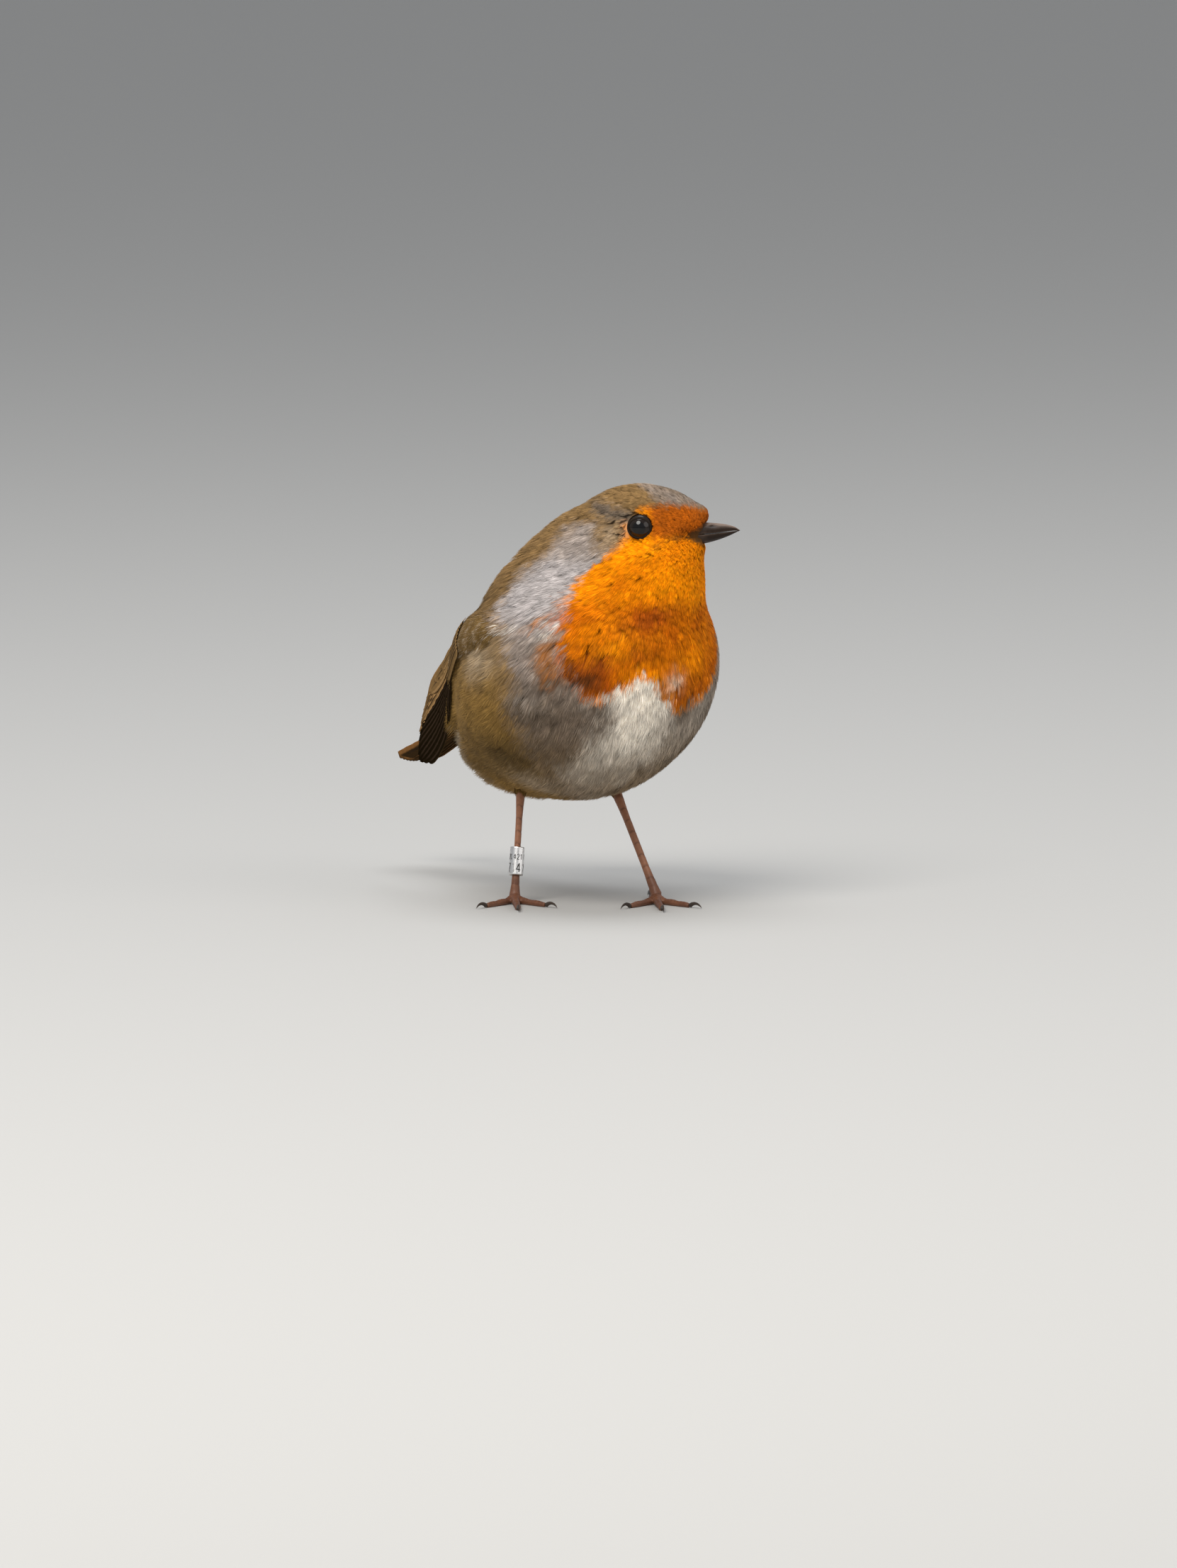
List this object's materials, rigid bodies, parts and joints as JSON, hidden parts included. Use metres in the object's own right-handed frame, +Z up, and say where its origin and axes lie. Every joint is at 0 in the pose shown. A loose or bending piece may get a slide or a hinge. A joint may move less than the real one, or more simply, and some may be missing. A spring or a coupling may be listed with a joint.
{
  "type": "european robin",
  "caption": "Small plump songbird standing with its head turned to one side, orange face and breast, brown back and a plain metal leg ring: a still model.",
  "frame": {"origin": "bottom centre of the bounding box, on the floor the feet stand on", "axes": "+X the way the trunk faces, +Y the bird's left, +Z up"},
  "size_m": [0.117, 0.0604, 0.0971],
  "materials": {
    "plumage_upper": "soft feathers",
    "plumage_orange": "soft feathers",
    "plumage_pale": "soft feathers",
    "quills": "smooth vanes",
    "bill": "horn with a soft sheen",
    "eyes": "wet gloss",
    "legs": "scaly skin",
    "claws": "horn with a soft sheen",
    "ring": "worn satin metal"
  },
  "bodies": {
    "root": {"head": "plumage_orange", "neck": "plumage_orange", "trunk": "plumage_pale", "wing_left": "quills", "wing_right": "quills", "tail": "quills", "bill_upper": "bill", "bill_lower": "bill", "eye_left": "eyes", "eye_right": "eyes", "tarsus_left": "legs", "tarsus_right": "legs", "foot_left": "legs", "foot_right": "legs", "claw_left_inner": "claws", "claw_left_middle": "claws", "claw_left_outer": "claws", "claw_left_hind": "claws", "claw_right_inner": "claws", "claw_right_middle": "claws", "claw_right_outer": "claws", "claw_right_hind": "claws", "leg_ring": "ring"}
  },
  "joints": []
}
